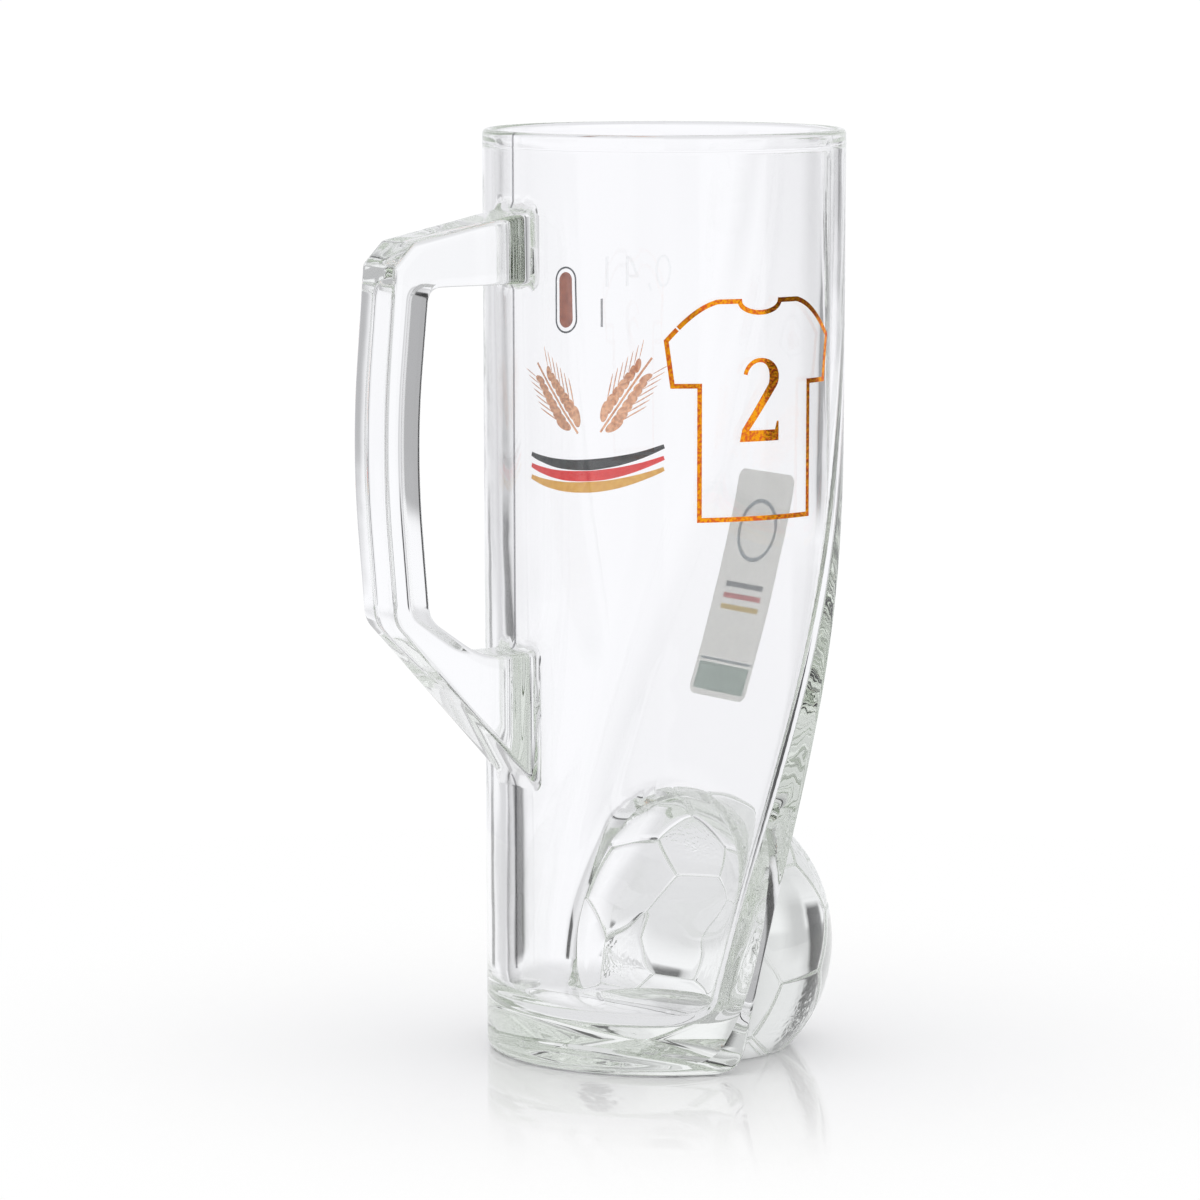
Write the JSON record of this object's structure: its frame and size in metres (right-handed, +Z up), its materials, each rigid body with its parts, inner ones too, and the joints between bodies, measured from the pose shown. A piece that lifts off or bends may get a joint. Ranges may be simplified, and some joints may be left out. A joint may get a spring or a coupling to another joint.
{
  "type": "beer mug",
  "caption": "Tall clear glass beer mug with a curved scarf-cut front, a half football set in the cut, a strap handle and fired prints.",
  "frame": {"origin": "on the axis of the round wall, on the surface that the mug stands on", "axes": "+Z up along the round wall's axis, +X towards the half football and the cut face, -X towards the handle, +Y completes the frame"},
  "size_m": [0.1109, 0.0768, 0.194],
  "materials": {
    "clear_glass": "clear polished pressed glass with a faint grey-green tint",
    "ball_glass": "clear pressed glass, some panels stippled",
    "handle_glass": "clear fire-polished glass",
    "gold_print": "fired gold lustre print, glossy",
    "copper_print": "fired copper lustre print, glossy",
    "dark_print": "fired dark print",
    "red_print": "fired red print",
    "yellow_print": "fired yellow print",
    "brown_enamel": "fired brown enamel",
    "grey_print": "fired grey print",
    "relief_glass": "satin raised strokes",
    "label_paper": "pale grey fired panel",
    "label_green": "pale grey-green fired panel"
  },
  "bodies": {
    "root": {"mug_body": "clear_glass", "football": "ball_glass", "handle": "handle_glass", "shirt_outline": "gold_print", "shirt_number": "gold_print", "barley_ear_left": "copper_print", "barley_ear_right": "copper_print", "ribbon_dark": "dark_print", "ribbon_red": "red_print", "ribbon_yellow": "yellow_print", "badge_enamel": "brown_enamel", "badge_line": "grey_print", "mark_zero": "relief_glass", "mark_comma": "relief_glass", "mark_four": "relief_glass", "mark_four_arm": "relief_glass", "mark_litre": "relief_glass", "fill_line": "relief_glass", "label_panel": "label_paper", "label_foot_band": "label_green", "label_rule": "grey_print", "label_ring": "grey_print", "bar_dark": "dark_print", "bar_red": "red_print", "bar_yellow": "yellow_print"}
  },
  "joints": []
}
